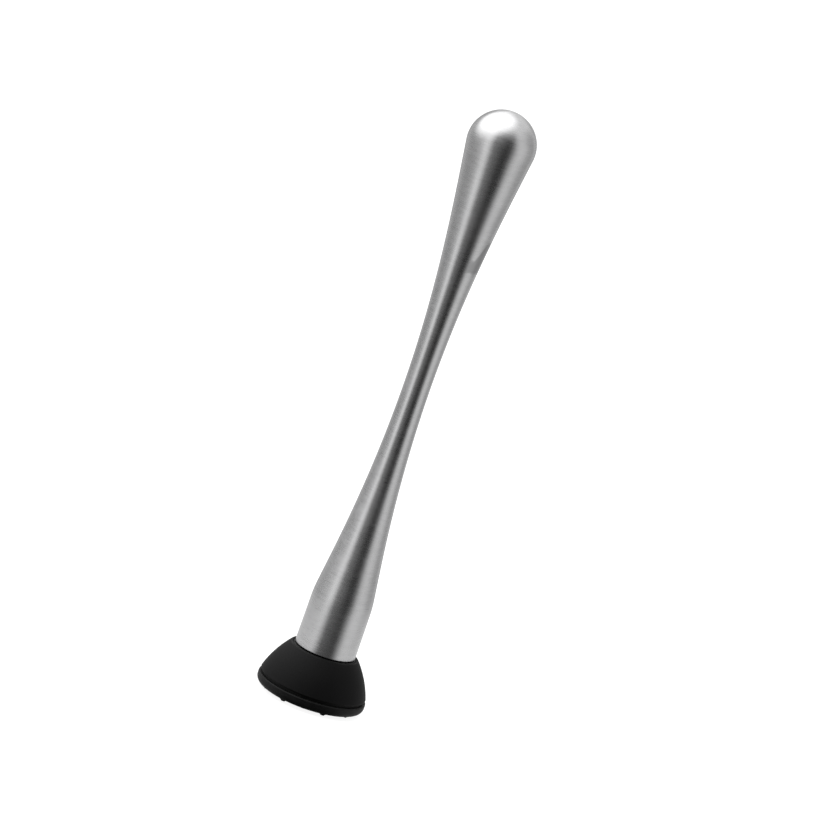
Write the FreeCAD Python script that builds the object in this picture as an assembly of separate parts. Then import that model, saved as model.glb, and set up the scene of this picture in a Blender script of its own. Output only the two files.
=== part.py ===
import FreeCAD, Part
import math
import os

# Bar muddler: a hollow steel handle screwed onto a flared black foot with a toothed tread.
# Millimetres. The Z axis is the muddler's own axis, and the tips of the teeth stand on Z = 0.

# ---- overall sizes ----
OVERALL_HEIGHT = 210.0
FOOT_RADIUS = 18.75

# ---- handle shell: pressed steel tube, domed head, waisted neck, nearly straight barrel ----
HEAD_RADIUS = 11.65
HEAD_TAPER = 8.0  # degrees from the axis where the upper flare meets the dome
NECK_RADIUS = 4.48
NECK_HEIGHT = 113.0
BARREL_RADIUS = 10.5  # at the rim
BARREL_TAPER = 0.4  # degrees
SHOULDER_HEIGHT = 36.4  # where the barrel's line and the lower flare's line cross
SHOULDER_BLEND = 45.0
SHOULDER_TAPER = 7.2  # degrees from the axis at the foot of the lower flare
HANDLE_WALL = 1.0
RIM_ROUND = 0.7

# How far each end's tangent pulls its flare, as a share of that flare's height
SHOULDER_PULL = 0.18
NECK_PULL_BELOW = 0.47
NECK_PULL_ABOVE = 0.385
HEAD_PULL = 0.3

# ---- tread disc: the toothed plate that closes the foot from below ----
RIM_LIFT = 0.8  # the edge ring stands this far above the tips
EDGE_ROUND = 2.1
EDGE_TOP_ROUND = 0.45
TOOTH_HEIGHT = 2.4
TOOTH_PITCH = 6.9
TOOTH_GAP = 0.9  # between the roots of neighbouring teeth
TOOTH_TIP = 1.5  # side of the blunt square tip
PLATE_THICKNESS = 2.4
GROOVE_WIDTH = 0.95  # shadow line between tread and bell
GROOVE_DEPTH = 1.1
COLLAR_HEIGHT = 3.2  # snap collar, above the bell's lower edge
COLLAR_WALL = 1.8
BEAD_RADIUS = 0.35
BEAD_DROP = 1.0  # below the collar's top

# ---- foot bell: moulded skirt, web, spigot and the lip round the handle ----
BELL_CURVE = 34.5  # radius of the skirt's outline
BELL_EDGE_ROUND = 0.3
SKIRT_WALL = 4.1  # at the lower edge
CROWN_WALL = 2.1  # at the top of the hollow
WEB_THICKNESS = 2.6
HUB_RADIUS = 7.6
HUB_DROP = 2.95  # the hub hangs this far below the web
RIB_THICKNESS = 1.6
RIB_COUNT = 6
SEAT_DEPTH = 1.0  # from the lip's crest down to the seat
LIP_WALL = 0.75
LIP_ROUND = 0.3
SPIGOT_HEIGHT = 6.0  # above the seat
SPIGOT_CHAMFER = 0.6

# ---- fasteners: M6 hexagon bolt, plain washer, thin nut ----
THREAD_RADIUS = 3.0
BOLT_LENGTH = 30.0
BOLT_HEAD_HEIGHT = 4.0
HEX_ACROSS_FLATS = 10.0
HEX_CHAMFER = 30.0  # degrees
TIP_CHAMFER = 0.7
WASHER_RADIUS = 6.0
WASHER_THICKNESS = 1.6
WASHER_ROUND = 0.25
NUT_HEIGHT = 3.2

# ---- handle plug and seal ring ----
PLUG_CAP = 1.8  # solid steel above the blind thread
PLUG_CHAMFER = 0.5
SEAL_THICKNESS = 0.9
SEAL_ROUND = 0.1

# ---- clearances ----
SOCKET_CLEARANCE = 0.5  # handle to lip, on the radius
SPIGOT_CLEARANCE = 0.08  # handle's bore to spigot, on the radius
SEAL_CLEARANCE = 0.1  # seal to spigot and to lip, on the radius
THREAD_CLEARANCE = 0.05  # bolt to plug, on the radius
BOLT_HOLE_CLEARANCE = 0.2  # bolt to bell and washer, on the radius
SNAP_CLEARANCE = 0.05  # collar to bell, on the radius
HEAD_HEADROOM = 0.5  # under the bolt's head
NUT_HEADROOM = 0.7  # nut to plug
TIP_HEADROOM = 1.0  # bolt's tip to the end of its blind thread

Z_AXIS = FreeCAD.Vector(0, 0, 1)
FULL_TURN = 360
SAME = 1e-4  # nearer than this, two points or two sizes are one

# ---- heights, stacked up from the tips ----
plate_top = TOOTH_HEIGHT + PLATE_THICKNESS
head_bottom = plate_top + HEAD_HEADROOM
bell_bottom = head_bottom
edge_top = bell_bottom - GROOVE_WIDTH
collar_top = bell_bottom + COLLAR_HEIGHT
bead_height = collar_top - BEAD_DROP
head_top = head_bottom + BOLT_HEAD_HEIGHT
hub_bottom = head_top + WASHER_THICKNESS
hollow_top = hub_bottom + HUB_DROP
seat = hollow_top + WEB_THICKNESS
lip_top = seat + SEAT_DEPTH
rim = seat + SEAL_THICKNESS
spigot_top = seat + SPIGOT_HEIGHT
nut_top = spigot_top + NUT_HEIGHT
plug_bottom = nut_top + NUT_HEADROOM
bolt_tip = head_top + BOLT_LENGTH
thread_end = bolt_tip + TIP_HEADROOM
plug_top = thread_end + PLUG_CAP
head_centre = OVERALL_HEIGHT - HEAD_RADIUS

# ---- radii that follow from the fits ----
socket_radius = BARREL_RADIUS + SOCKET_CLEARANCE
lip_radius = socket_radius + LIP_WALL
bell_radius = FOOT_RADIUS - BELL_EDGE_ROUND
collar_bore = bell_radius - SKIRT_WALL
collar_radius = collar_bore - SNAP_CLEARANCE
bolt_hole = THREAD_RADIUS + BOLT_HOLE_CLEARANCE


def at(radius, height):
    """A point of a half outline."""
    return FreeCAD.Vector(radius, 0, height)


def heading(degrees):
    """Unit step up a half outline that leans in towards the axis by this angle."""
    lean = math.radians(degrees)
    return FreeCAD.Vector(-math.sin(lean), 0, math.cos(lean))


def straight(*points):
    """The straight edges that join these points in turn, where two of them differ."""
    pairs = zip(points, points[1:])
    return [Part.makeLine(a, b) for a, b in pairs if not a.isEqual(b, SAME)]


def arc(start, middle, end):
    return Part.Arc(start, middle, end).toShape()


def round_corner(before, corner, after, radius):
    """Arc that rounds a corner, with its two ends: (start, arc, end)."""
    back = (before - corner).normalize()
    ahead = (after - corner).normalize()
    half = back.getAngle(ahead) / 2
    start = corner + back * (radius / math.tan(half))
    end = corner + ahead * (radius / math.tan(half))
    inwards = (back + ahead).normalize()
    middle = corner + inwards * (radius / math.sin(half) - radius)
    return start, arc(start, middle, end), end


def rounded_outline(corners):
    """Closed outline through (point, radius) corners, each rounded where its radius isn't 0."""
    points = [point for point, _ in corners]
    starts, arcs, ends = [], [], []
    for index, (point, radius) in enumerate(corners):
        start, edge, end = point, None, point
        if radius:
            after = points[(index + 1) % len(points)]
            start, edge, end = round_corner(points[index - 1], point, after, radius)
        starts.append(start)
        arcs.append(edge)
        ends.append(end)
    edges = []
    for index, edge in enumerate(arcs):
        if edge:
            edges.append(edge)
        edges += straight(ends[index], starts[(index + 1) % len(points)])
    return edges


def turned(edges):
    """Solid of revolution about the Z axis from a closed half outline."""
    face = Part.Face(Part.Wire(Part.__sortEdges__(edges)))
    return face.revolve(FreeCAD.Vector(), Z_AXIS, FULL_TURN)


def rod(radius, bottom, top):
    return Part.makeCylinder(radius, top - bottom, at(0, bottom))


def bead(radius, height, section):
    return Part.makeTorus(radius, section, at(0, height))


def barrel_radius(height):
    """The barrel's outer radius at a height, before the shoulder."""
    return BARREL_RADIUS - (height - rim) * math.tan(math.radians(BARREL_TAPER))


def flare(low, low_step, high, high_step):
    """Smooth curve between two points, leaving each along its own tangent."""
    curve = Part.BezierCurve()
    curve.setPoles([low, low + low_step, high - high_step, high])
    return curve.toShape()


def handle_form(inset):
    """The handle's form as one solid, with every surface moved in by inset."""
    foot = at(barrel_radius(rim) - inset, rim)
    corner = at(barrel_radius(SHOULDER_HEIGHT) - inset, SHOULDER_HEIGHT)
    leaning = heading(SHOULDER_TAPER)
    low, blend, shoulder = round_corner(foot, corner, corner + leaning, SHOULDER_BLEND - inset)

    neck = at(NECK_RADIUS - inset, NECK_HEIGHT)
    below = NECK_HEIGHT - shoulder.z
    lower = flare(
        shoulder,
        leaning * (SHOULDER_PULL * below),
        neck,
        Z_AXIS * (NECK_PULL_BELOW * below),
    )

    dome = HEAD_RADIUS - inset
    centre = at(0, head_centre)
    collar = centre + FreeCAD.Vector(heading(HEAD_TAPER).z, 0, heading(HEAD_TAPER).x) * dome
    above = collar.z - NECK_HEIGHT
    upper = flare(
        neck,
        Z_AXIS * (NECK_PULL_ABOVE * above),
        collar,
        heading(-HEAD_TAPER) * (HEAD_PULL * above),
    )

    top = centre + Z_AXIS * dome
    cheek = centre + FreeCAD.Vector(1, 0, 1).normalize() * dome
    edges = straight(foot, low) + [blend, lower, upper, arc(collar, cheek, top)]
    return turned(edges + straight(top, at(0, rim), foot))


def handle_shell():
    """Pressed shell, open at its lower rim, whose outer corner is rolled in."""
    shell = handle_form(0).cut(handle_form(HANDLE_WALL))
    return shell.makeFillet(RIM_ROUND, circles_at(shell, BARREL_RADIUS, rim))


def handle_plug():
    """Steel plug welded inside the barrel, with the blind thread that takes the bolt."""
    slab = rod(BARREL_RADIUS, plug_bottom, plug_top)
    body = handle_form(HANDLE_WALL).common(slab)
    bore_radius = THREAD_RADIUS + THREAD_CLEARANCE
    mouth = Part.makeCone(
        bore_radius + PLUG_CHAMFER, bore_radius, PLUG_CHAMFER, at(0, plug_bottom)
    )
    return body.cut(rod(bore_radius, plug_bottom, thread_end)).cut(mouth)


def spigot_radius(height):
    return barrel_radius(height) - HANDLE_WALL - SPIGOT_CLEARANCE


def seal_ring():
    """Flat silicone ring on the seat, under the handle's rim."""
    inner = spigot_radius(seat) + SEAL_CLEARANCE
    outer = socket_radius - SEAL_CLEARANCE
    corners = [at(inner, seat), at(outer, seat), at(outer, rim), at(inner, rim)]
    return turned(rounded_outline([(corner, SEAL_ROUND) for corner in corners]))


def skirt_radius(height):
    """Outer radius of the bell, on the arc from its lower edge to the foot of its lip."""
    low, high = at(bell_radius, bell_bottom), at(lip_radius, lip_top)
    chord = high - low
    across = FreeCAD.Vector(-chord.z, 0, chord.x).normalize()
    rise = math.sqrt(BELL_CURVE**2 - (chord.Length / 2) ** 2)
    centre = low + chord * 0.5 + across * rise
    return centre.x + math.sqrt(BELL_CURVE**2 - (height - centre.z) ** 2)


def foot_bell():
    """Skirt, web, hub and spigot in one moulding, hollow from below, with ribs to its hub."""
    middle = (bell_bottom + lip_top) / 2
    low, high = at(bell_radius, bell_bottom), at(lip_radius, lip_top)
    skirt = arc(low, at(skirt_radius(middle), middle), high)
    hollow = skirt_radius(hollow_top) - CROWN_WALL
    chamfer_foot = spigot_top - SPIGOT_CHAMFER
    inside = straight(
        high,
        at(socket_radius, lip_top),
        at(socket_radius, seat),
        at(spigot_radius(seat), seat),
        at(spigot_radius(chamfer_foot), chamfer_foot),
        at(spigot_radius(spigot_top) - SPIGOT_CHAMFER, spigot_top),
        at(bolt_hole, spigot_top),
        at(bolt_hole, hub_bottom),
        at(HUB_RADIUS, hub_bottom),
        at(HUB_RADIUS, hollow_top),
        at(hollow, hollow_top),
        at(collar_bore, collar_top),
        at(collar_bore, bell_bottom),
        low,
    )
    bell = turned([skirt] + inside)
    bell = bell.cut(bead(collar_radius, bead_height, BEAD_RADIUS + SNAP_CLEARANCE))
    bell = bell.fuse(rib_set().common(rib_room(hollow))).removeSplitter()
    return soften_bell(bell)


def rib_room(hollow):
    """The bell's hollow beside the hub, and a little into its walls, that the ribs fill."""
    bite = CROWN_WALL / 4
    slope = (collar_bore - hollow) / (hollow_top - collar_top)
    wall = hollow + slope * (hollow_top - hub_bottom)
    low, high = at(HUB_RADIUS - bite, hub_bottom), at(HUB_RADIUS - bite, hollow_top + bite)
    return turned(
        straight(
            low,
            at(wall + bite, hub_bottom),
            at(hollow + bite, hollow_top),
            at(hollow + bite, hollow_top + bite),
            high,
            low,
        )
    )


def rib_set():
    """Flat ribs from the hub out to the skirt."""
    start = HUB_RADIUS - RIB_THICKNESS
    length = FOOT_RADIUS - start
    height = seat - hub_bottom
    corner = FreeCAD.Vector(start, -RIB_THICKNESS / 2, hub_bottom)
    ribs = []
    for index in range(RIB_COUNT):
        rib = Part.makeBox(length, RIB_THICKNESS, height, corner)
        rib.rotate(FreeCAD.Vector(), Z_AXIS, index * FULL_TURN / RIB_COUNT)
        ribs.append(rib)
    return Part.makeCompound(ribs)


def soften_bell(bell):
    """Rounds the crest of the lip, inside and out, and the skirt's lower outer edge."""
    crest = circles_at(bell, lip_radius, lip_top) + circles_at(bell, socket_radius, lip_top)
    bell = bell.makeFillet(LIP_ROUND, crest)
    return bell.makeFillet(BELL_EDGE_ROUND, circles_at(bell, bell_radius, bell_bottom))


def circles_at(shape, radius, height):
    """The full circles of this radius, at this height, among a shape's edges."""
    centre = at(0, height)
    return [
        edge
        for edge in shape.Edges
        if not edge.Degenerated
        and isinstance(edge.Curve, Part.Circle)
        and abs(edge.Curve.Radius - radius) < SAME
        and edge.Curve.Center.isEqual(centre, SAME)
    ]


def tooth_places():
    """Grid places whose blunt tip stays inside the edge ring."""
    field = FOOT_RADIUS - EDGE_ROUND
    reach = int(field / TOOTH_PITCH)
    steps = [index * TOOTH_PITCH for index in range(-reach, reach + 1)]
    return [(x, y) for x in steps for y in steps if math.hypot(x, y) < field]


def square(side, x, y, height):
    half = side / 2
    corners = [(-half, -half), (half, -half), (half, half), (-half, half), (-half, -half)]
    return Part.makePolygon([FreeCAD.Vector(x + dx, y + dy, height) for dx, dy in corners])


def tooth(x, y):
    """Square pyramid with a blunt tip, point down."""
    root = TOOTH_PITCH - TOOTH_GAP
    return Part.makeLoft(
        [square(TOOTH_TIP, x, y, 0), square(root, x, y, TOOTH_HEIGHT)], True, True
    )


def tread_disc():
    """Edge ring, plate, snap collar and the grid of teeth in one moulding."""
    field = FOOT_RADIUS - EDGE_ROUND
    land = FOOT_RADIUS - GROOVE_DEPTH
    inner_collar = collar_radius - COLLAR_WALL
    corners = [
        (at(0, TOOTH_HEIGHT), 0),
        (at(field, TOOTH_HEIGHT), 0),
        (at(field, RIM_LIFT), 0),
        (at(FOOT_RADIUS, RIM_LIFT), EDGE_ROUND),
        (at(FOOT_RADIUS, edge_top), EDGE_TOP_ROUND),
        (at(land, edge_top), 0),
        (at(land, bell_bottom), 0),
        (at(collar_radius, bell_bottom), 0),
        (at(collar_radius, collar_top), 0),
        (at(inner_collar, collar_top), 0),
        (at(inner_collar, plate_top), 0),
        (at(0, plate_top), 0),
    ]
    disc = turned(rounded_outline(corners))
    disc = disc.fuse(bead(collar_radius, bead_height, BEAD_RADIUS))
    teeth = Part.makeCompound([tooth(x, y) for x, y in tooth_places()])
    inside = rod(field + EDGE_ROUND / 4, 0, TOOTH_HEIGHT)
    return disc.fuse(teeth.common(inside)).removeSplitter()


def hexagon(bottom, height):
    """Hexagonal prism with the flats facing along Y."""
    corner = HEX_ACROSS_FLATS / math.sqrt(3)
    turns = [math.radians(60 * index) for index in range(7)]
    ring = [FreeCAD.Vector(corner * math.cos(a), corner * math.sin(a), bottom) for a in turns]
    return Part.Face(Part.makePolygon(ring)).extrude(Z_AXIS * height)


def chamfer_cone(bottom, height, at_bottom, at_top):
    """Turned blank that takes the corners off a hexagon at either end."""
    flat = HEX_ACROSS_FLATS / 2
    corner = HEX_ACROSS_FLATS / math.sqrt(3)
    drop = (corner - flat) * math.tan(math.radians(HEX_CHAMFER))
    top = bottom + height
    points = [at(0, bottom)]
    points += [at(flat, bottom), at(corner, bottom + drop)] if at_bottom else [at(corner, bottom)]
    points += [at(corner, top - drop), at(flat, top)] if at_top else [at(corner, top)]
    return turned(straight(*points, at(0, top), at(0, bottom)))


def foot_bolt():
    """Hexagon bolt, head down, through the bell's hub and up into the handle plug."""
    head = hexagon(head_bottom, BOLT_HEAD_HEIGHT)
    head = head.common(chamfer_cone(head_bottom, BOLT_HEAD_HEIGHT, True, False))
    shank = turned(
        straight(
            at(0, head_top),
            at(THREAD_RADIUS, head_top),
            at(THREAD_RADIUS, bolt_tip - TIP_CHAMFER),
            at(THREAD_RADIUS - TIP_CHAMFER, bolt_tip),
            at(0, bolt_tip),
            at(0, head_top),
        )
    )
    return head.fuse(shank).removeSplitter()


def bolt_washer():
    """Plain washer between the bolt's head and the hub."""
    corners = [
        (at(bolt_hole, head_top), 0),
        (at(WASHER_RADIUS, head_top), WASHER_ROUND),
        (at(WASHER_RADIUS, hub_bottom), WASHER_ROUND),
        (at(bolt_hole, hub_bottom), 0),
    ]
    return turned(rounded_outline(corners))


def jam_nut():
    """Thin nut on top of the spigot, which locks the bolt to the bell."""
    nut = hexagon(spigot_top, NUT_HEIGHT)
    nut = nut.common(chamfer_cone(spigot_top, NUT_HEIGHT, True, True))
    return nut.cut(rod(THREAD_RADIUS, spigot_top, nut_top))


PIECES = [
    handle_shell,
    handle_plug,
    seal_ring,
    foot_bell,
    tread_disc,
    foot_bolt,
    bolt_washer,
    jam_nut,
]

os.makedirs("parts", exist_ok=True)
for piece in PIECES:
    shape = piece()
    shape.exportStep(f"parts/{piece.__name__}.step")
    box = shape.BoundBox
    print(
        f"{piece.__name__}: {len(shape.Solids)} solid, valid {shape.isValid()}, "
        f"z {box.ZMin:.2f} to {box.ZMax:.2f}, radius {box.XMax:.2f}, volume {shape.Volume:.0f}"
    )
print(f"thread engaged for {bolt_tip - plug_bottom:.2f} mm")
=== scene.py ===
import math

import bpy
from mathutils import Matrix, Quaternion, Vector


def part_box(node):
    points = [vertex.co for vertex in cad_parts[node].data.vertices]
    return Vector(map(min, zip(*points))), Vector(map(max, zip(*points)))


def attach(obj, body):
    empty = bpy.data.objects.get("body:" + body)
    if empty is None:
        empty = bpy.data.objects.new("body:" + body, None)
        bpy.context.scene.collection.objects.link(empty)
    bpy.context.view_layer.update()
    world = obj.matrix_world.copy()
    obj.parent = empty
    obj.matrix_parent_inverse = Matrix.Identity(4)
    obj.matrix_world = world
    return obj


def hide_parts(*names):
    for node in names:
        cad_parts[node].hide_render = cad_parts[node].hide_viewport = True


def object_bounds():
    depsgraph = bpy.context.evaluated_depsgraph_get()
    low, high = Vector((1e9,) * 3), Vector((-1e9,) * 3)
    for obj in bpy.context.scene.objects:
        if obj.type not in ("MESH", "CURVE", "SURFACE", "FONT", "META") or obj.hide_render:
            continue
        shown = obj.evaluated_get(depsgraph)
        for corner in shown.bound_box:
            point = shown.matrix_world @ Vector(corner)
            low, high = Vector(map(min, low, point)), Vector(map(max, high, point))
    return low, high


bl_info = {
    "name": "Bar Muddler",
    "version": (1, 0, 0),
    "blender": (4, 5, 0),
    "location": "3D View > Sidebar > Muddler",
    "description": "Finishes a steel bar muddler with a black toothed foot around its packed frame",
    "category": "Add Mesh",
}

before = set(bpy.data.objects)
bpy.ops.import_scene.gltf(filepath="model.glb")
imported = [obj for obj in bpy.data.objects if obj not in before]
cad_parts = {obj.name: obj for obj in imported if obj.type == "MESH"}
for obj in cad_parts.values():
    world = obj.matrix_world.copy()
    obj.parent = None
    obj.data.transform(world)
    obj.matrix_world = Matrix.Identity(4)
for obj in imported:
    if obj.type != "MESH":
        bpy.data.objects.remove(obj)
cad_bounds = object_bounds()

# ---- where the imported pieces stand, in metres ----
HANDLE_LOW, HANDLE_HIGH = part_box("handle_shell")
BELL_LOW, BELL_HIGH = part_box("foot_bell")
_, TREAD_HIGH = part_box("tread_disc")
BOLT_LOW, BOLT_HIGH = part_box("foot_bolt")
WASHER_LOW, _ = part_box("bolt_washer")

MM = 0.001
LIP_HEIGHT = 12.15 * MM  # of the lip round the handle, above the bell's lower edge
HAIR = 1e-6  # radius of the circle that an outline is swept round
WELD = 3e-6  # points nearer than this are one
TOOTH_SINK = 1.05  # a tooth's full height over the height that shows below the plate
THREAD_ROWS = 16  # in one turn, so that the thread's crest and root have edges

# ---- a metric thread's section, in pitches ----
THREAD_DEPTH = 0.6134
ROOT_FLAT = 0.25
CREST_FLAT = 0.125


# ---------------------------------------------------------------- settings


def length(name, description, default):
    return bpy.props.FloatProperty(
        name=name, description=description, default=default, min=0, unit="LENGTH", precision=5
    )


def angle(name, description, degrees):
    return bpy.props.FloatProperty(
        name=name, description=description, default=math.radians(degrees), subtype="ANGLE"
    )


def share(name, description, default):
    return bpy.props.FloatProperty(
        name=name, description=description, default=default, min=0, max=1, subtype="FACTOR"
    )


def count(name, description, default):
    return bpy.props.IntProperty(name=name, description=description, default=default, min=1)


def colour(name, description, default):
    return bpy.props.FloatVectorProperty(
        name=name, description=description, default=default, size=3, min=0, max=1, subtype="COLOR"
    )


class HandleSettings(bpy.types.PropertyGroup):
    """Sizes and finish of the steel handle."""

    head_radius: length("Head radius", "Radius of the domed head", HANDLE_HIGH.x)
    head_taper: angle("Head taper", "Lean of the upper flare where it meets the dome", 8)
    neck_radius: length("Neck radius", "Radius at the waist", 4.48 * MM)
    neck_height: length("Neck height", "Height of the waist", 113 * MM)
    barrel_radius: length("Barrel radius", "Radius at the rim", 10.5 * MM)
    barrel_taper: angle("Barrel taper", "Lean of the barrel", 0.4)
    shoulder_height: length("Shoulder height", "Where barrel and lower flare would meet", 36.4 * MM)
    shoulder_blend: length("Shoulder blend", "Radius between barrel and lower flare", 45 * MM)
    shoulder_taper: angle("Shoulder taper", "Lean at the foot of the lower flare", 7.2)
    shoulder_pull: share("Shoulder pull", "Pull of the lower flare's foot tangent", 0.18)
    neck_pull_below: share("Neck pull below", "Pull of the waist on the lower flare", 0.47)
    neck_pull_above: share("Neck pull above", "Pull of the waist on the upper flare", 0.385)
    head_pull: share("Head pull", "Pull of the upper flare's head tangent", 0.3)
    wall: length("Wall", "Thickness of the shell", 1 * MM)
    rim_round: length("Rim round", "Radius of the rolled rim", 0.7 * MM)
    segments: count("Segments", "Faces round the handle", 160)
    steel: colour("Steel", "Colour of the brushed steel", (0.62, 0.62, 0.625))
    # Smudge and Smudge height set a darker, rougher patch on the flare below the head.
    patch_strength: share("Smudge", "Strength of the finger mark below the head", 0.55)
    patch_height: length("Smudge height", "Height of the finger mark's lower edge", 155 * MM)


class TreadSettings(bpy.types.PropertyGroup):
    """Sizes and finish of the toothed tread disc."""

    edge_round: length("Edge round", "Radius of the disc's lower edge", 2.1 * MM)
    edge_top_round: length("Edge top round", "Radius of the edge at the groove", 0.45 * MM)
    rim_lift: length("Rim lift", "Height of the edge ring above the tips", 0.8 * MM)
    groove_depth: length("Groove depth", "Depth of the groove under the bell", 1.1 * MM)
    groove_width: length("Groove width", "Width of the groove under the bell", 0.95 * MM)
    collar_height: length("Collar height", "Height of the snap collar", 3.2 * MM)
    collar_radius: length("Collar radius", "Outer radius of the snap collar", 14.3 * MM)
    collar_wall: length("Collar wall", "Thickness of the snap collar", 1.8 * MM)
    bead_radius: length("Bead radius", "Radius of the snap bead", 0.35 * MM)
    bead_drop: length("Bead drop", "Depth of the bead below the collar's top", 1 * MM)
    tooth_height: length("Tooth height", "Depth of the tread", 2.4 * MM)
    tooth_pitch: length("Tooth pitch", "Distance between teeth", 6.9 * MM)
    tooth_gap: length("Tooth gap", "Gap between roots", 0.9 * MM)
    tooth_tip: length("Tooth tip", "Side of the blunt tip", 1.5 * MM)
    tooth_round: length("Tooth round", "Radius of a tooth's edges", 0.28 * MM)
    plate: length("Plate", "Thickness of the plate", 2.4 * MM)
    segments: count("Segments", "Faces round the disc", 144)
    black: colour("Black", "Colour of the tread", (0.0036, 0.0036, 0.0037))


class BoltSettings(bpy.types.PropertyGroup):
    """Sizes of the bolt that joins foot and handle."""

    thread_radius: length("Thread radius", "Radius over the crests", 3 * MM)
    thread_pitch: length("Thread pitch", "Rise of one turn", 1 * MM)
    tip_chamfer: length("Tip chamfer", "Chamfer at the tip", 0.7 * MM)
    head_chamfer: angle("Head chamfer", "Slope of the head's chamfer", 30)
    across_flats: length("Across flats", "Width of the head", 10 * MM)
    segments: count("Segments", "Faces round the thread", 48)
    steel: colour("Steel", "Colour of the fasteners", (0.58, 0.58, 0.57))


class FootSettings(bpy.types.PropertyGroup):
    """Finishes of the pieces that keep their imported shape."""

    black: colour("Black", "Colour of the moulded bell", (0.0026, 0.0026, 0.0027))
    seal: colour("Seal", "Colour of the silicone ring", (0.012, 0.012, 0.012))
    plug: colour("Plug", "Colour of the turned plug", (0.55, 0.55, 0.56))
    grain: length("Grain", "Size of the mould texture", 0.22 * MM)


class StageSettings(bpy.types.PropertyGroup):
    """Camera, floor and lights."""

    azimuth: angle("Azimuth", "Camera's turn about the muddler", 3)
    elevation: angle("Elevation", "Camera's height above level", 13)
    roll: angle("Roll", "Camera's roll about its own axis", 19.26)
    distance: length("Distance", "Camera to target", 2)
    target_height: length("Target height", "Height that the camera looks at", 104.39 * MM)
    target_side: length("Target side", "Target's offset to the camera's right", 0.6 * MM)
    lens: bpy.props.FloatProperty(
        name="Lens", description="Focal length", default=266, min=1, unit="CAMERA"
    )
    floor: colour("Floor", "Colour of the floor", (0.3, 0.3, 0.3))


SETTINGS = {
    "muddler_handle": HandleSettings,
    "muddler_tread": TreadSettings,
    "muddler_bolt": BoltSettings,
    "muddler_foot": FootSettings,
    "muddler_stage": StageSettings,
}


# ------------------------------------------------------------------- nodes


class Value:
    """A node's output, with arithmetic that adds Math nodes to its tree."""

    def __init__(self, graph, socket):
        self.graph = graph
        self.socket = socket

    def __getitem__(self, output):
        return Value(self.graph, self.socket.node.outputs[output])

    def __add__(self, other):
        return self.graph.math("ADD", self, other)

    def __radd__(self, other):
        return self.graph.math("ADD", other, self)

    def __sub__(self, other):
        return self.graph.math("SUBTRACT", self, other)

    def __rsub__(self, other):
        return self.graph.math("SUBTRACT", other, self)

    def __mul__(self, other):
        return self.graph.math("MULTIPLY", self, other)

    def __rmul__(self, other):
        return self.graph.math("MULTIPLY", other, self)

    def __truediv__(self, other):
        return self.graph.math("DIVIDE", self, other)

    def __rtruediv__(self, other):
        return self.graph.math("DIVIDE", other, self)


class Graph:
    """A node tree and the one way that nodes are added to it."""

    def __init__(self, tree):
        self.tree = tree

    def node(self, kind, settings=None, inputs=None, output=0):
        """Adds a node: its settings first, then the values or links of its sockets."""
        node = self.tree.nodes.new(kind)
        for name, value in (settings or {}).items():
            if name == "stops":
                self.set_stops(node.color_ramp, value)
            else:
                setattr(node, name, value)
        for name, value in (inputs or {}).items():
            socket = node.inputs[name]
            if isinstance(value, Value):
                self.tree.links.new(value.socket, socket)
            elif isinstance(value, list):
                for each in value:
                    self.tree.links.new(each.socket, socket)
            else:
                socket.default_value = value
        return Value(self, node.outputs[output]) if len(node.outputs) else None

    @staticmethod
    def set_stops(ramp, stops):
        for _ in stops[2:]:
            ramp.elements.new(0.5)
        for element, (place, level) in zip(ramp.elements, stops):
            element.position = place
            element.color = (level, level, level, 1)

    def math(self, operation, *values):
        return self.node("ShaderNodeMath", {"operation": operation}, dict(enumerate(values)))

    def smooth(self, value, low, high):
        """0 below low, 1 above high and an S curve between."""
        inputs = {0: value, 1: low, 2: high, 3: 0.0, 4: 1.0}
        return self.node("ShaderNodeMapRange", {"interpolation_type": "SMOOTHSTEP"}, inputs)

    def combine(self, x, y, z):
        return self.node("ShaderNodeCombineXYZ", None, {0: x, 1: y, 2: z})

    def split(self, vector):
        xyz = self.node("ShaderNodeSeparateXYZ", None, {0: vector})
        return xyz["X"], xyz["Y"], xyz["Z"]

    def noise(self, vector, scale, detail=2.0, roughness=0.5):
        inputs = {"Vector": vector, "Scale": scale, "Detail": detail, "Roughness": roughness}
        return self.node("ShaderNodeTexNoise", None, inputs)

    def mix(self, factor, first, second):
        """Colour between two colours."""
        colours = [c if isinstance(c, Value) else (*c, 1) for c in (first, second)]
        inputs = {0: factor, 6: colours[0], 7: colours[1]}
        return self.node("ShaderNodeMix", {"data_type": "RGBA"}, inputs, 2)


def shade(colour_value, factor):
    return tuple(channel * factor for channel in colour_value)


# --------------------------------------------------------------- materials


def blank_material(name):
    """A material whose node tree is empty."""
    material = bpy.data.materials.new(name)
    material.use_nodes = True
    material.node_tree.nodes.clear()
    return material


class Finish(Graph):
    """A material: a Principled shader over patterns on the object's own coordinates."""

    def __init__(self, name):
        self.material = blank_material(name)
        super().__init__(self.material.node_tree)
        self.position = self.node("ShaderNodeTexCoord", output="Object")
        self.x, self.y, self.z = self.split(self.position)
        self.radius = self.math("SQRT", self.x * self.x + self.y * self.y)

    def rings(self, around, along, detail=2.0):
        """Noise drawn out round the Z axis: around sets its length, along its lines per metre."""
        x = self.x / self.radius * around
        y = self.y / self.radius * around
        return self.noise(self.combine(x, y, self.z * along), 1.0, detail)

    def bump(self, height, strength, distance, below=None):
        inputs = {"Strength": strength, "Distance": distance, "Height": height}
        if below:
            inputs["Normal"] = below
        return self.node("ShaderNodeBump", None, inputs)

    def surface(self, **sockets):
        """Ends the material in a Principled shader; a double underscore stands for a space."""
        inputs = {name.replace("__", " "): value for name, value in sockets.items()}
        shader = self.node("ShaderNodeBsdfPrincipled", None, inputs)
        self.node("ShaderNodeOutputMaterial", None, {"Surface": shader})
        return self.material


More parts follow.
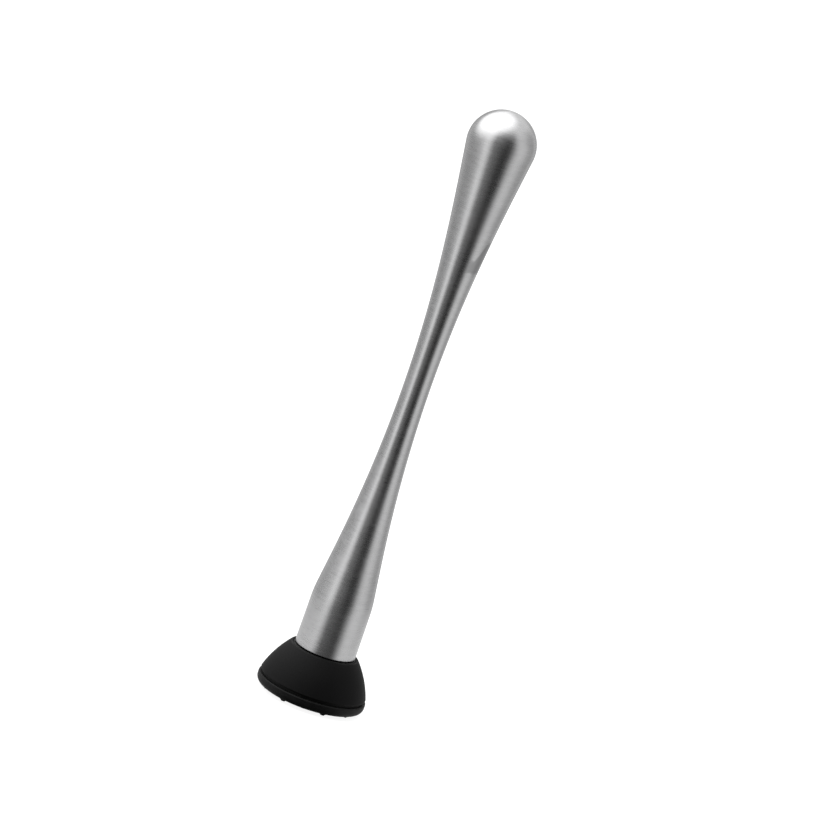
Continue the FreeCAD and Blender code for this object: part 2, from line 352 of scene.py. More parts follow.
def dark_patch(finish, ragged, lower_edge):
    """A darker, rougher patch on the flare below the head, bounded round the axis; its upper edge
    slants.
    """
    around = finish.math("ARCTAN2", finish.x, 0 - finish.y)
    above = finish.z + ragged - lower_edge
    crown = 4.9 * MM + finish.smooth(around, math.radians(37), math.radians(68)) * 7 * MM
    patch = finish.smooth(above, -0.3 * MM, 1.1 * MM)
    patch = patch * (1 - finish.smooth(above - crown, -1.1 * MM, 1.1 * MM))
    patch = patch * finish.smooth(around, math.radians(18), math.radians(40))
    return patch * (1 - finish.smooth(around, math.radians(92), math.radians(125)))


def brushed_steel(settings):
    """Fine brushing round the axis, a darker, rougher patch on the flare below the head, and
    painted shade just above the rim, where the gap to the bell falls dark.
    """
    finish = Finish("Brushed steel")
    hairlines = finish.rings(1.6, 5200)
    streaks = finish.rings(2.2, 1100)
    bands = finish.rings(0.5, 160)
    cloud = finish.noise(finish.position, 70, 3.0)
    ragged = (finish.noise(finish.position, 420, 3.0) - 0.5) * 3 * MM
    patch = dark_patch(finish, ragged, settings.patch_height)
    rim = HANDLE_LOW.z
    # Painted shade: the steel is darkened to near black just above the rim, standing in for the
    # shade of the gap to the bell.
    painted_rim_shade = 1 - finish.smooth(finish.z + ragged * 0.04, rim + 0.5 * MM, rim + 0.7 * MM)

    tone = hairlines * 0.35 + streaks * 0.35 + bands * 0.2 + cloud * 0.1
    light = finish.smooth(tone, 0.3, 0.7)
    steel = finish.mix(light, shade(settings.steel, 0.9), shade(settings.steel, 1.06))
    patched = finish.mix(patch * settings.patch_strength, steel, shade(settings.steel, 0.35))
    base = finish.mix(painted_rim_shade, patched, shade(settings.steel, 0.03))
    roughness = 0.2 + hairlines * 0.09 + streaks * 0.06 + finish.smooth(cloud, 0.45, 0.7) * 0.05
    height = hairlines * 0.5 + streaks * 0.5
    return finish.surface(
        Base__Color=base,
        Metallic=1.0,
        Roughness=roughness + patch * 0.08,
        Anisotropic=0.7,
        Anisotropic__Rotation=0.25,
        Normal=finish.bump(height, 0.22, 0.00004),
    )


def turned_steel(settings):
    """Lathe rings on the faces and along the bore."""
    finish = Finish("Turned steel")
    reach = finish.combine(finish.radius * 4200, finish.z * 4200, 0.0)
    cuts = finish.noise(reach, 1.0, 2.0)
    chatter = finish.noise(finish.combine(finish.radius * 900, finish.z * 900, 0.0), 1.0, 1.0)
    cloud = finish.noise(finish.position, 180, 3.0)
    tone = cuts * 0.5 + chatter * 0.3 + cloud * 0.2
    base = finish.mix(
        finish.smooth(tone, 0.3, 0.7), shade(settings.plug, 0.78), shade(settings.plug, 1.08)
    )
    return finish.surface(
        Base__Color=base,
        Metallic=1.0,
        Roughness=0.24 + cuts * 0.14 + cloud * 0.05,
        Anisotropic=0.55,
        Anisotropic__Rotation=0.25,
        Normal=finish.bump(cuts * 0.6 + chatter * 0.4, 0.3, 0.00004),
    )


def fastener_steel(settings):
    """Bright stainless, drawn and lightly rubbed."""
    finish = Finish("Fastener steel")
    grain = finish.noise(finish.position, 3800, 3.0)
    drawn = finish.noise(finish.combine(finish.x * 1400, finish.y * 1400, finish.z * 160), 1.0)
    cloud = finish.noise(finish.position, 260, 2.0)
    tone = grain * 0.3 + drawn * 0.4 + cloud * 0.3
    base = finish.mix(
        finish.smooth(tone, 0.32, 0.68), shade(settings.steel, 0.8), shade(settings.steel, 1.1)
    )
    return finish.surface(
        Base__Color=base,
        Metallic=1.0,
        Roughness=0.2 + drawn * 0.1 + finish.smooth(cloud, 0.5, 0.75) * 0.12,
        Normal=finish.bump(grain * 0.5 + drawn * 0.5, 0.15, 0.00003),
    )


def moulded_black(settings):
    """Fine eroded mould texture, satin-matt, a little polished at the lip and round the lower outer
    edge, where a painted highlight also lightens the colour.
    """
    finish = Finish("Moulded black")
    grain = finish.noise(finish.position, 1 / settings.grain, 3.0, 0.6)
    cloud = finish.noise(finish.position, 130, 4.0, 0.55)
    flow = finish.rings(1.1, 420)

    lip_top = BELL_LOW.z + LIP_HEIGHT
    # Painted highlight: the colour is lightened along the lip's crest and round the bell's lower
    # outer edge, where light catches; the same masks make these places a little smoother.
    lip_highlight = finish.smooth(finish.z, lip_top - 0.4 * MM, lip_top - 0.1 * MM)
    lip_highlight = lip_highlight * (1 - finish.smooth(finish.z, lip_top + 0.05 * MM, lip_top + 0.3 * MM))
    edge = 1 - finish.smooth(finish.z, BELL_LOW.z, BELL_LOW.z + 0.75 * MM)
    outer = finish.smooth(finish.radius, BELL_HIGH.x - 1.1 * MM, BELL_HIGH.x - 0.2 * MM)
    polish_and_highlight = (lip_highlight + edge * outer) * finish.smooth(cloud, 0.38, 0.62)

    matt = finish.mix(
        finish.smooth(cloud, 0.3, 0.7), shade(settings.black, 0.82), shade(settings.black, 1.25)
    )
    base = finish.mix(polish_and_highlight * 0.5, matt, shade(settings.black, 3.2))
    roughness = 0.5 + grain * 0.1 + cloud * 0.08 - polish_and_highlight * 0.1
    height = grain * 0.8 + flow * 0.2
    return finish.surface(
        Base__Color=base,
        Roughness=roughness,
        Specular__IOR__Level=0.13,
        Normal=finish.bump(height, 0.4, 0.00006),
    )


def tread_black(settings, foot):
    """The same moulding texture, rubbed grey on the tips, with a painted sheen lightening the
    colour round the lower edge.
    """
    finish = Finish("Tread black")
    grain = finish.noise(finish.position, 1 / foot.grain, 3.0, 0.6)
    cloud = finish.noise(finish.position, 240, 4.0, 0.6)
    tips = 1 - finish.smooth(finish.z, 0.02 * MM, 0.35 * MM)
    # Painted sheen: the colour is lightened round the disc's lower edge, where its sides catch the
    # light.
    edge = finish.smooth(finish.radius, TREAD_HIGH.x - 2.2 * MM, TREAD_HIGH.x)
    wear_and_sheen = (tips * 0.8 + edge * 0.45) * finish.smooth(cloud, 0.32, 0.66)
    matt = finish.mix(
        finish.smooth(cloud, 0.3, 0.7), shade(settings.black, 0.8), shade(settings.black, 1.25)
    )
    base = finish.mix(wear_and_sheen, matt, shade(settings.black, 3.0))
    return finish.surface(
        Base__Color=base,
        Roughness=0.46 + grain * 0.12 + cloud * 0.08 - wear_and_sheen * 0.05,
        Specular__IOR__Level=0.17,
        Normal=finish.bump(grain, 0.4, 0.00006),
    )


def silicone(settings):
    """Matt silicone with a dusty bloom."""
    finish = Finish("Silicone")
    grain = finish.noise(finish.position, 5200, 2.0)
    bloom = finish.noise(finish.position, 600, 4.0)
    base = finish.mix(
        finish.smooth(bloom, 0.4, 0.75), shade(settings.seal, 0.9), shade(settings.seal, 2.2)
    )
    return finish.surface(
        Base__Color=base,
        Roughness=0.62 + grain * 0.16,
        Specular__IOR__Level=0.35,
        Normal=finish.bump(grain, 0.3, 0.00003),
    )


# ---------------------------------------------------------------- outlines


def heading(lean):
    """Unit step up a half outline that leans in towards the axis by this angle."""
    return Vector((-math.sin(lean), math.cos(lean)))


def line(start, end, steps):
    return [start.lerp(end, index / steps) for index in range(steps + 1)]


def bezier(poles, steps):
    points = []
    for index in range(steps + 1):
        t = index / steps
        row = list(poles)
        while len(row) > 1:
            row = [a.lerp(b, t) for a, b in zip(row, row[1:])]
        points.append(row[0])
    return points


def arc(centre, radius, start, end, steps):
    """Points round a centre, from one angle above level to another."""
    angles = [start + (end - start) * index / steps for index in range(steps + 1)]
    return [centre + Vector((math.cos(a), math.sin(a))) * radius for a in angles]


def fillet(before, corner, after, radius, steps):
    """Points of the arc that rounds a corner."""
    back, ahead = (before - corner).normalized(), (after - corner).normalized()
    half = back.angle(ahead) / 2
    inwards = (back + ahead).normalized()
    centre = corner + inwards * (radius / math.sin(half))
    first = corner + back * (radius / math.tan(half)) - centre
    last = corner + ahead * (radius / math.tan(half)) - centre
    points = []
    for index in range(steps + 1):
        t = index / steps
        way = (first * (1 - t) + last * t).normalized()
        points.append(centre + way * radius)
    return points


def joined(*runs):
    """One list of points from runs that may share their ends."""
    points = []
    for point in (point for run in runs for point in run):
        if not points or (point - points[-1]).length > WELD:
            points.append(point)
    return points


def handle_side(sizes, inset, rim, top, steps):
    """The handle's side from its rim up to the dome's top, moved in by inset."""
    barrel = math.tan(sizes.barrel_taper)
    foot = Vector((sizes.barrel_radius - inset, rim))
    corner = Vector((foot.x - (sizes.shoulder_height - rim) * barrel, sizes.shoulder_height))
    leaning = heading(sizes.shoulder_taper)
    blend = fillet(foot, corner, corner + leaning, sizes.shoulder_blend - inset, steps // 3)
    shoulder = blend[-1]

    neck = Vector((sizes.neck_radius - inset, sizes.neck_height))
    below = neck.y - shoulder.y
    up = Vector((0, 1))
    lower = bezier(
        [
            shoulder,
            shoulder + leaning * (sizes.shoulder_pull * below),
            neck - up * (sizes.neck_pull_below * below),
            neck,
        ],
        steps,
    )

    dome = sizes.head_radius - inset
    centre = Vector((0, top - sizes.head_radius))
    cheek = centre + Vector((math.cos(sizes.head_taper), -math.sin(sizes.head_taper))) * dome
    above = cheek.y - neck.y
    upper = bezier(
        [
            neck,
            neck + up * (sizes.neck_pull_above * above),
            cheek - heading(-sizes.head_taper) * (sizes.head_pull * above),
            cheek,
        ],
        steps,
    )
    cap = arc(centre, dome, -sizes.head_taper, math.pi / 2, steps // 2)
    cap[-1] = Vector((0, cap[-1].y))
    return joined(line(foot, blend[0], steps // 6), blend, lower, upper, cap)


def handle_outline(sizes):
    """Outer side down from the dome, round the rolled rim and up the inner side."""
    rim, top = HANDLE_LOW.z, HANDLE_HIGH.z
    outer = handle_side(sizes, 0, rim, top, 48)
    inner = handle_side(sizes, sizes.wall, rim, top, 24)
    roll = fillet(outer[1], outer[0], inner[0], sizes.rim_round, 8)
    return joined(outer[:0:-1], roll, inner)


def tread_outline(sizes):
    """Section of the disc: upper face out to the collar, groove, edge ring, lower face."""
    edge = TREAD_HIGH.x
    field = edge - sizes.edge_round
    plate_top = sizes.tooth_height + sizes.plate
    collar_top = TREAD_HIGH.z
    groove_top = collar_top - sizes.collar_height
    groove_foot = groove_top - sizes.groove_width
    land = edge - sizes.groove_depth
    inner = sizes.collar_radius - sizes.collar_wall
    bead = Vector((sizes.collar_radius, collar_top - sizes.bead_drop))
    top_corner, low_corner = Vector((edge, groove_foot)), Vector((edge, sizes.rim_lift))
    ring_foot, land_foot = Vector((field, sizes.rim_lift)), Vector((land, groove_foot))
    return joined(
        line(Vector((0, plate_top)), Vector((inner, plate_top)), 4),
        [Vector((inner, collar_top)), Vector((sizes.collar_radius, collar_top))],
        arc(bead, sizes.bead_radius, math.pi / 2, -math.pi / 2, 10),
        [Vector((sizes.collar_radius, groove_top)), Vector((land, groove_top)), land_foot],
        fillet(land_foot, top_corner, low_corner, sizes.edge_top_round, 8),
        fillet(top_corner, low_corner, ring_foot, sizes.edge_round - WELD, 20),
        [ring_foot, Vector((field, sizes.tooth_height))],
        line(Vector((field, sizes.tooth_height)), Vector((0, sizes.tooth_height)), 6),
    )


# ---------------------------------------------------------- geometry nodes


def geometry_graph(name, inputs):
    """An empty Geometry Nodes tree with these named inputs, and its input node."""
    tree = bpy.data.node_groups.new(name, "GeometryNodeTree")
    tree.interface.new_socket("Geometry", in_out="OUTPUT", socket_type="NodeSocketGeometry")
    for label, kind in inputs.items():
        tree.interface.new_socket(label, in_out="INPUT", socket_type="NodeSocket" + kind)
    graph = Graph(tree)
    return graph, graph.node("NodeGroupInput")


def close_graph(graph, shape, given):
    """Shades faces smooth up to an angle, then realizes, sets the material and ends."""
    smooth = graph.node("GeometryNodeSetShadeSmooth", None, {"Geometry": shape})
    turn = graph.node("GeometryNodeInputMeshEdgeAngle")
    creased = graph.node(
        "FunctionNodeCompare", {"operation": "GREATER_THAN"}, {0: turn, 1: given["Crease"]}
    )
    sharp = graph.node(
        "GeometryNodeSetShadeSmooth",
        {"domain": "EDGE"},
        {"Geometry": smooth, "Selection": creased, "Shade Smooth": False},
    )
    real = graph.node("GeometryNodeRealizeInstances", None, {"Geometry": sharp})
    done = graph.node(
        "GeometryNodeSetMaterial", None, {"Geometry": real, "Material": given["Material"]}
    )
    graph.node("NodeGroupOutput", None, {0: done})


def lathe_tree():
    """Sweeps an outline round the Z axis and welds it shut at the axis."""
    graph, given = geometry_graph(
        "Lathe",
        {"Outline": "Object", "Segments": "Int", "Crease": "Float", "Material": "Material"},
    )
    outline = graph.node("GeometryNodeObjectInfo", None, {"Object": given["Outline"]}, "Geometry")
    path = graph.node(
        "GeometryNodeCurvePrimitiveCircle",
        None,
        {"Resolution": given["Segments"], "Radius": HAIR},
    )
    swept = graph.node(
        "GeometryNodeCurveToMesh", None, {"Curve": path, "Profile Curve": outline}
    )
    welded = graph.node(
        "GeometryNodeMergeByDistance", None, {"Geometry": swept, "Distance": WELD}
    )
    close_graph(graph, welded, given)
    return graph.tree


def tread_tree():
    """Sets teeth on a square grid, trims them to a circle and joins them to the disc."""
    graph, given = geometry_graph(
        "Tread",
        {
            "Disc": "Object",
            "Tooth": "Object",
            "Rows": "Int",
            "Pitch": "Float",
            "Field Radius": "Float",
            "Trim Radius": "Float",
            "Trim Height": "Float",
            "Segments": "Int",
            "Crease": "Float",
            "Material": "Material",
        },
    )
    disc = graph.node("GeometryNodeObjectInfo", None, {"Object": given["Disc"]}, "Geometry")
    tooth = graph.node("GeometryNodeObjectInfo", None, {"Object": given["Tooth"]}, "Geometry")
    span = given["Pitch"] * (given["Rows"] - 1)
    grid = graph.node(
        "GeometryNodeMeshGrid",
        None,
        {
            "Size X": span,
            "Size Y": span,
            "Vertices X": given["Rows"],
            "Vertices Y": given["Rows"],
        },
    )
    reach = graph.node(
        "ShaderNodeVectorMath",
        {"operation": "LENGTH"},
        {0: graph.node("GeometryNodeInputPosition")},
        "Value",
    )
    outside = graph.node(
        "FunctionNodeCompare",
        {"operation": "GREATER_THAN"},
        {0: reach, 1: given["Field Radius"]},
    )
    places = graph.node(
        "GeometryNodeDeleteGeometry", None, {"Geometry": grid, "Selection": outside}
    )
    teeth = graph.node(
        "GeometryNodeInstanceOnPoints", None, {"Points": places, "Instance": tooth}
    )
    teeth = graph.node("GeometryNodeRealizeInstances", None, {"Geometry": teeth})
    trimmer = graph.node(
        "GeometryNodeMeshCylinder",
        None,
        {
            "Vertices": given["Segments"],
            "Radius": given["Trim Radius"],
            "Depth": given["Trim Height"],
        },
    )
    overlap = {"operation": "INTERSECT", "solver": "EXACT"}
    trimmed = graph.node("GeometryNodeMeshBoolean", overlap, {"Mesh 2": [teeth, trimmer]})
    union = {"operation": "UNION", "solver": "EXACT"}
    whole = graph.node("GeometryNodeMeshBoolean", union, {"Mesh 2": [disc, trimmed]})
    close_graph(graph, whole, given)
    return graph.tree


def thread_tree():
    """A right-handed screw thread as a grid wound round the Z axis, closed at both ends."""
    graph, given = geometry_graph(
        "Thread",
        {
            "Bottom": "Float",
            "Top": "Float",
            "Crest Radius": "Float",
            "Depth": "Float",
            "Pitch": "Float",
            "Tip Chamfer": "Float",
            "Segments": "Int",
            "Rows": "Int",
            "Crease": "Float",
            "Material": "Material",
        },
    )
    grid = graph.node(
        "GeometryNodeMeshGrid",
        None,
        {
            "Size X": 1.0,
            "Size Y": 1.0,
            "Vertices X": given["Segments"] + 1,
            "Vertices Y": given["Rows"] + 1,
        },
    )
    x, y, _ = graph.split(graph.node("GeometryNodeInputPosition"))
    turn = x + 0.5
    row = graph.math("ROUND", (y + 0.5) * given["Rows"])
    bottom, top, pitch = given["Bottom"], given["Top"], given["Pitch"]
    height = bottom + pitch * ((row - 1) / THREAD_ROWS - 1 + turn)
    height = graph.math("MAXIMUM", graph.math("MINIMUM", height, top), bottom)
    phase = graph.math("FRACT", (height - bottom) / pitch - turn + 2)
    swing = graph.math("ABSOLUTE", phase * 2 - 1)
    rise = (swing - ROOT_FLAT) / (1 - ROOT_FLAT - CREST_FLAT)
    flank = graph.math("MINIMUM", graph.math("MAXIMUM", rise, 0), 1)
    crest = given["Crest Radius"]
    radius = crest - given["Depth"] * (1 - flank)
    radius = graph.math("MINIMUM", radius, crest - given["Tip Chamfer"] + top - height)
    inside = graph.math("GREATER_THAN", row, 0.5)
    inside = inside * graph.math("LESS_THAN", row, given["Rows"] - 0.5)
    radius = radius * inside
    around = turn * math.tau
    place = graph.combine(
        radius * graph.math("COSINE", around), radius * graph.math("SINE", around), height
    )
    wound = graph.node(
        "GeometryNodeSetPosition", None, {"Geometry": grid, "Position": place}
    )
    welded = graph.node(
        "GeometryNodeMergeByDistance", None, {"Geometry": wound, "Distance": WELD}
    )
    close_graph(graph, welded, given)
    return graph.tree


# ------------------------------------------------------------------ pieces


def linked(name, data):
    """A new object in the scene that shows this data."""
    piece = bpy.data.objects.new(name, data)
    bpy.context.scene.collection.objects.link(piece)
    return piece


def outline_object(points):
    """A curve object through (radius, height) points, as the lathe tree takes it."""
    curve = bpy.data.curves.new("Outline", "CURVE")
    curve.dimensions = "3D"
    spline = curve.splines.new("POLY")
    spline.points.add(len(points) - 1)
    for place, point in zip(spline.points, points):
        place.co = (point.x - HAIR, -point.y, 0, 1)
    return linked("Outline", curve)


def grown(name, tree, values):
    """A plain mesh object made by a Geometry Nodes tree with these input values."""
    piece = linked(name, bpy.data.meshes.new(name))
    modifier = piece.modifiers.new("Shape", "NODES")
    modifier.node_group = tree
    for item in tree.interface.items_tree:
        if item.in_out == "INPUT":
            modifier[item.identifier] = values[item.name]
    evaluated = piece.evaluated_get(bpy.context.evaluated_depsgraph_get())
    mesh = bpy.data.meshes.new_from_object(evaluated)
    piece.modifiers.remove(modifier)
    piece.data = mesh
    mesh.name = name
    if not mesh.polygons:
        raise RuntimeError(f"{name} came out empty")
    return piece


def dropped(*pieces):
    for piece in pieces:
        bpy.data.objects.remove(piece)


def mesh_object(name, rows):
    """A closed mesh from rows of points round the Z axis, with a cap at each end."""
    size = len(rows[0])
    faces = []
    for lower in range(len(rows) - 1):
        base = lower * size
        for index in range(size):
            after = (index + 1) % size
            faces.append((base + index, base + after, base + size + after, base + size + index))
    faces.append(tuple(reversed(range(size))))
    faces.append(tuple(range((len(rows) - 1) * size, len(rows) * size)))
    mesh = bpy.data.meshes.new(name)
    mesh.from_pydata([point for row in rows for point in row], [], faces)
    return linked(name, mesh)


def rounded_square(half, radius, height, steps):
    """One row of a tooth: a square with rounded corners."""
    row = []
    for corner in range(4):
        start = corner * math.pi / 2
        inner = half - radius
        middle = start + math.pi / 4
        cx = math.copysign(inner, math.cos(middle))
        cy = math.copysign(inner, math.sin(middle))
        for index in range(steps + 1):
            turn = start + index * math.pi / 2 / steps
            row.append((cx + radius * math.cos(turn), cy + radius * math.sin(turn), height))
    return row


def tooth_object(sizes):
    """Square pyramid, point down, with a blunt tip and every edge rounded."""
    tip = sizes.tooth_tip / 2
    root = (sizes.tooth_pitch - sizes.tooth_gap) / 2
    slope = (root - tip) / sizes.tooth_height
    soft = sizes.tooth_round
    steps = 4
    rows = []
    for index in range(steps + 1):
        turn = index * math.pi / 2 / steps
        half = tip - soft + soft * math.sin(turn)
        rows.append(rounded_square(half, soft, soft * (1 - math.cos(turn)), steps + 1))
    top = sizes.tooth_height * TOOTH_SINK
    rows.append(rounded_square(tip + slope * top, soft, top, steps + 1))
    return mesh_object("Tooth", rows)


def hexagon_head(sizes, bottom, top):
    """Hexagon head whose lower corners are turned off, as rows that follow its edges."""
    flat = sizes.across_flats / 2
    steps = 96
    rows = [[], [], []]
    for index in range(steps):
        turn = index * math.tau / steps
        off = (turn + math.pi / 6) % (math.pi / 3) - math.pi / 6
        side = flat / math.cos(math.pi / 6 - abs(off))
        rise = (side - flat) * math.tan(sizes.head_chamfer)
        for row, radius, height in zip(rows, (flat, side, side), (bottom, bottom + rise, top)):
            row.append((radius * math.cos(turn), radius * math.sin(turn), height))
    return mesh_object("Head", rows)


def replacing(piece, node, body):
    """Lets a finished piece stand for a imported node."""
    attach(piece, body)
    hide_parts(node)


def dress(node, material):
    """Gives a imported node, whose shape stays, a finish."""
    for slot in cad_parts[node].material_slots:
        slot.material = material


class MUDDLER_OT_handle(bpy.types.Operator):
    """Turn the steel handle from its outline"""

    bl_idname = "muddler.handle"
    bl_label = "Handle"

    def execute(self, context):
        sizes = context.scene.muddler_handle
        outline = outline_object(handle_outline(sizes))
        values = {
            "Outline": outline,
            "Segments": sizes.segments,
            "Crease": math.radians(40),
            "Material": brushed_steel(sizes),
        }
        handle = grown("steel_handle", lathe_tree(), values)
        dropped(outline)
        replacing(handle, "handle_shell", "handle")
        return {"FINISHED"}


class MUDDLER_OT_tread(bpy.types.Operator):
    """Mould the tread disc with its grid of teeth"""

    bl_idname = "muddler.tread"
    bl_label = "Tread disc"

    def execute(self, context):
        sizes = context.scene.muddler_tread
        material = tread_black(sizes, context.scene.muddler_foot)
        outline = outline_object(tread_outline(sizes))
        crease = math.radians(34)
        disc = grown(
            "Disc",
            lathe_tree(),
            {
                "Outline": outline,
                "Segments": sizes.segments,
                "Crease": crease,
                "Material": material,
            },
        )
        tooth = tooth_object(sizes)
        field = TREAD_HIGH.x - sizes.edge_round
        tread = grown(
            "toothed_tread",
            tread_tree(),
            {
                "Disc": disc,
                "Tooth": tooth,
                "Rows": 2 * int(field / sizes.tooth_pitch) + 1,
                "Pitch": sizes.tooth_pitch,
                "Field Radius": field,
                "Trim Radius": field + sizes.edge_round / 4,
                "Trim Height": 4 * sizes.tooth_height,
                "Segments": sizes.segments,
                "Crease": crease,
                "Material": material,
            },
        )
        dropped(outline, disc, tooth)
        replacing(tread, "tread_disc", "foot")
        return {"FINISHED"}


class MUDDLER_OT_bolt(bpy.types.Operator):
    """Cut the bolt's thread and head, and finish washer and nut"""

    bl_idname = "muddler.bolt"
    bl_label = "Bolt, washer and nut"

    def execute(self, context):
        sizes = context.scene.muddler_bolt
        material = fastener_steel(sizes)
        under_head = WASHER_LOW.z
        turns = (BOLT_HIGH.z - under_head) / sizes.thread_pitch
        values = {
            "Bottom": under_head,
            "Top": BOLT_HIGH.z,
            "Crest Radius": sizes.thread_radius,
            "Depth": sizes.thread_pitch * THREAD_DEPTH,
            "Pitch": sizes.thread_pitch,
            "Tip Chamfer": sizes.tip_chamfer,
            "Segments": sizes.segments,
            "Rows": THREAD_ROWS * math.ceil(turns + 1) + 2,
            "Crease": math.radians(28),
            "Material": material,
        }
        bolt = grown("threaded_bolt", thread_tree(), values)
        head = hexagon_head(sizes, BOLT_LOW.z, under_head)
        head.data.materials.append(material)
        with context.temp_override(
            active_object=bolt, selected_editable_objects=[bolt, head], object=bolt
        ):
            bpy.ops.object.join()
        replacing(bolt, "foot_bolt", "foot")
        dress("bolt_washer", material)
        dress("jam_nut", material)
        return {"FINISHED"}


class MUDDLER_OT_foot(bpy.types.Operator):
    """Finish the moulded bell, the seal ring and the plug inside the handle"""

    bl_idname = "muddler.foot"
    bl_label = "Bell, seal and plug"

    def execute(self, context):
        sizes = context.scene.muddler_foot
        dress("foot_bell", moulded_black(sizes))
        dress("seal_ring", silicone(sizes))
        dress("handle_plug", turned_steel(sizes))
        return {"FINISHED"}


# ------------------------------------------------------------------- stage

FLOOR_DROP = -0.3 * MM  # keeps the floor clear of the tips that stand on it
FLOOR_HALF = 4.0
CARD_RADIUS = 0.17  # of the card round the foot, which shows only in reflections
CARD_CENTRE = math.radians(5)  # azimuth at which the card is darkest

# Direction of the broad soft light above the muddler
OVERHEAD = Vector((-0.52, 0.05, 0.85)).normalized()

# Reflectors round the muddler: azimuth in degrees, brightness
REFLECTORS = (
    (-180, 0.75),
    (-166, 0.5),
    (-153, 0.42),
    (-141, 0.58),
    (-125, 0.46),
    (-103, 0.36),
    (-86, 0.38),
    (-71, 0.45),
    (-57, 0.64),
    (-46, 0.95),
    (-36, 0.88),
    (-28, 0.55),
    (-20, 0.22),
    (-8.5, 0.16),
    (3, 0.11),
    (14.5, 0.05),
    (26, 0.025),
    (37, 0.05),
    (47, 0.2),
    (60, 0.62),
    (74, 0.78),
    (92, 0.68),
    (109, 0.48),
    (131, 0.42),
    (147, 0.62),
    (160, 0.42),
    (170, 0.5),
    (180, 0.75),
)


def studio_world():
    """Pale and dark reflectors by direction; white where the camera sees past the floor."""
    world = bpy.data.worlds.new("Studio")
    world.use_nodes = True
    world.node_tree.nodes.clear()
    graph = Graph(world.node_tree)
    x, y, z = graph.split(graph.node("ShaderNodeTexCoord", output="Generated"))
    azimuth = graph.math("ARCTAN2", x, 0 - y) / math.tau + 0.5
    stops = [(degrees / 360 + 0.5, level) for degrees, level in REFLECTORS]
    sides = graph.node("ShaderNodeValToRGB", {"stops": stops}, {0: azimuth})
    ceiling = graph.smooth(z + graph.math("MAXIMUM", y, 0) * 0.42, 0.6, 0.94)
    light = graph.mix(ceiling, sides, (0.95, 0.95, 0.95))
    nearness = x * OVERHEAD.x + y * OVERHEAD.y + z * OVERHEAD.z
    light = graph.mix(graph.smooth(nearness, 0.54, 0.82), light, (2, 2, 2))
    seen = graph.node("ShaderNodeLightPath", output="Is Camera Ray")
    colour_seen = graph.mix(seen, light, (1, 1, 1))
    background = graph.node("ShaderNodeBackground", None, {"Color": colour_seen})
    graph.node("ShaderNodeOutputWorld", None, {"Surface": background})
    bpy.context.scene.world = world


def softbox(name, toward, distance, diameter, power):
    """A round soft light that faces the muddler's middle from a unit direction."""
    light = bpy.data.lights.new(name, "AREA")
    light.shape = "DISK"
    light.size = diameter
    light.energy = power
    lamp = linked(name, light)
    lamp.location = Vector((0, 0, cad_bounds[1][2] / 2)) + toward * distance
    lamp.rotation_euler = toward.to_track_quat("Z", "Y").to_euler()


def floor_material(settings):
    """Near-white sheet that shows only a faint shadow, and nothing from below."""
    material = blank_material("Floor")
    graph = Graph(material.node_tree)
    sheet = graph.node("ShaderNodeBsdfDiffuse", None, {"Color": (*settings.floor, 1)})
    glow = graph.node("ShaderNodeEmission", None, {"Color": (1, 1, 1, 1), "Strength": 0.9})
    pale = graph.node("ShaderNodeAddShader", None, {0: sheet, 1: glow})
    clear = graph.node("ShaderNodeBsdfTransparent")
    behind = graph.node("ShaderNodeNewGeometry", output="Backfacing")
    surface = graph.node("ShaderNodeMixShader", None, {0: behind, 1: pale, 2: clear})
    graph.node("ShaderNodeOutputMaterial", None, {"Surface": surface})
    return material


def card_material():
    """Pale card seen only in reflections: dark towards the camera, soft at its outer edge."""
    material = blank_material("Card")
    graph = Graph(material.node_tree)
    x, y, _ = graph.split(graph.node("ShaderNodeTexCoord", output="Object"))
    turned = graph.math("ABSOLUTE", graph.math("ARCTAN2", x, 0 - y) - CARD_CENTRE)
    level = 0.08 + graph.smooth(turned, math.radians(20), math.radians(58)) * 0.68
    grey = graph.combine(level, level, level)
    glow = graph.node("ShaderNodeEmission", None, {"Color": grey})
    clear = graph.node("ShaderNodeBsdfTransparent")
    reach = graph.math("SQRT", x * x + y * y)
    fade = graph.smooth(reach, CARD_RADIUS * 0.6, CARD_RADIUS)
    surface = graph.node("ShaderNodeMixShader", None, {0: fade, 1: glow, 2: clear})
    graph.node("ShaderNodeOutputMaterial", None, {"Surface": surface})
    return material


def floor_card():
    """A card on the floor round the foot, which brightens the barrel above it."""
    mesh = bpy.data.meshes.new("floor_card")
    turns = [index * math.tau / 64 for index in range(64)]
    ring = [(CARD_RADIUS * math.cos(a), CARD_RADIUS * math.sin(a), FLOOR_DROP / 2) for a in turns]
    mesh.from_pydata(ring, [], [tuple(range(len(ring)))])
    mesh.materials.append(card_material())
    card = linked("floor_card", mesh)
    card.visible_camera = False
    card.visible_diffuse = False
    card.visible_shadow = False


def floor_sheet(settings):
    """A pale floor that the camera sees and nothing reflects."""
    mesh = bpy.data.meshes.new("floor")
    signs = [(-1, -1), (1, -1), (1, 1), (-1, 1)]
    corners = [(x * FLOOR_HALF, y * FLOOR_HALF, FLOOR_DROP) for x, y in signs]
    mesh.from_pydata(corners, [], [(0, 1, 2, 3)])
    mesh.materials.append(floor_material(settings))
    sheet = linked("floor", mesh)
    sheet.visible_glossy = False
    sheet.visible_diffuse = False
    sheet.visible_shadow = False


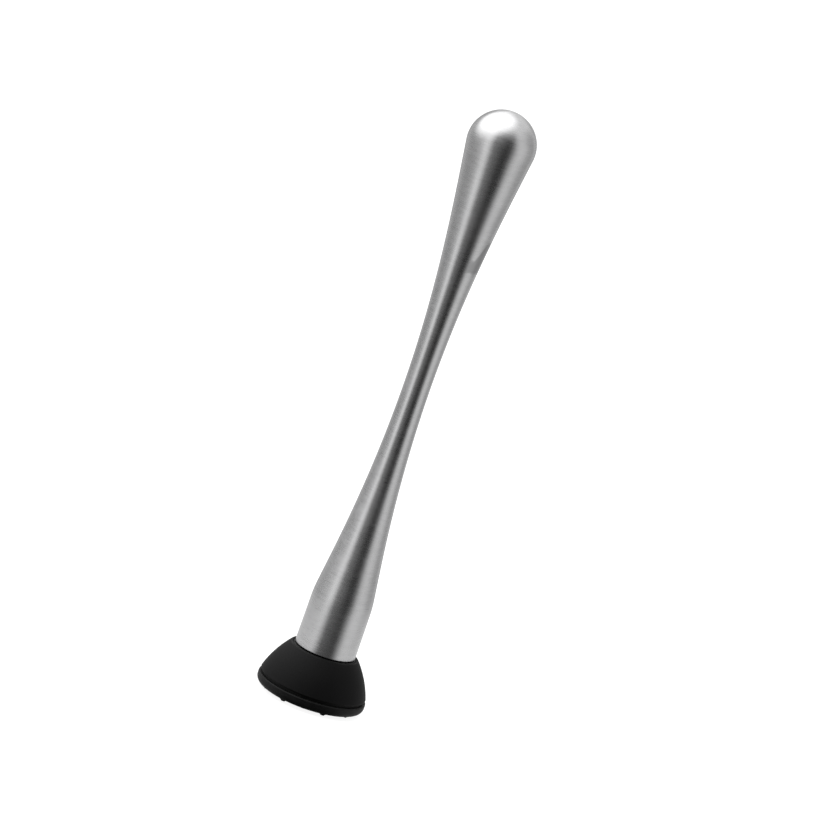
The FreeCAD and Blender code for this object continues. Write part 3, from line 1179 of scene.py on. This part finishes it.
def studio_camera(settings):
    """Looks at the muddler from an azimuth and a height, and rolls about its own axis."""
    camera = linked("Camera", bpy.data.cameras.new("Camera"))
    camera.data.lens = settings.lens
    camera.data.clip_start = 0.01
    camera.data.clip_end = 100
    turn, rise = settings.azimuth, settings.elevation
    back = Vector(
        (math.sin(turn) * math.cos(rise), -math.cos(turn) * math.cos(rise), math.sin(rise))
    )
    side = Vector((math.cos(turn), math.sin(turn), 0))
    target = Vector((0, 0, settings.target_height)) + side * settings.target_side
    camera.rotation_mode = "QUATERNION"
    camera.location = target + back * settings.distance
    level = back.to_track_quat("Z", "Y")
    camera.rotation_quaternion = level @ Quaternion((0, 0, 1), settings.roll)
    bpy.context.scene.camera = camera


class MUDDLER_OT_stage(bpy.types.Operator):
    """Set up camera, floor and soft studio light"""

    bl_idname = "muddler.stage"
    bl_label = "Stage"

    def execute(self, context):
        settings = context.scene.muddler_stage
        studio_camera(settings)
        studio_world()
        softbox("Overhead softbox", OVERHEAD, distance=1.2, diameter=0.9, power=1.2)
        floor_sheet(settings)
        floor_card()
        context.scene.view_settings.view_transform = "Standard"
        return {"FINISHED"}


class MUDDLER_PT_sidebar(bpy.types.Panel):
    """Settings and buttons for the muddler"""

    bl_idname = "MUDDLER_PT_sidebar"
    bl_label = "Bar Muddler"
    bl_space_type = "VIEW_3D"
    bl_region_type = "UI"
    bl_category = "Muddler"

    def draw(self, context):
        for name, operator in zip(SETTINGS, OPERATORS):
            box = self.layout.box()
            settings = getattr(context.scene, name)
            for setting in settings.__annotations__:
                box.prop(settings, setting)
            box.operator(operator.bl_idname)


# In the order in which they run, one for each group of settings
OPERATORS = (
    MUDDLER_OT_handle,
    MUDDLER_OT_tread,
    MUDDLER_OT_bolt,
    MUDDLER_OT_foot,
    MUDDLER_OT_stage,
)


def register():
    for kind in (*SETTINGS.values(), *OPERATORS, MUDDLER_PT_sidebar):
        bpy.utils.register_class(kind)
    for name, kind in SETTINGS.items():
        setattr(bpy.types.Scene, name, bpy.props.PointerProperty(type=kind))


def unregister():
    for name in SETTINGS:
        delattr(bpy.types.Scene, name)
    for kind in reversed((*SETTINGS.values(), *OPERATORS, MUDDLER_PT_sidebar)):
        bpy.utils.unregister_class(kind)


def main():
    register()
    bpy.ops.muddler.handle()
    bpy.ops.muddler.tread()
    bpy.ops.muddler.bolt()
    bpy.ops.muddler.foot()
    bpy.ops.muddler.stage()


if __name__ == "__main__":
    main()
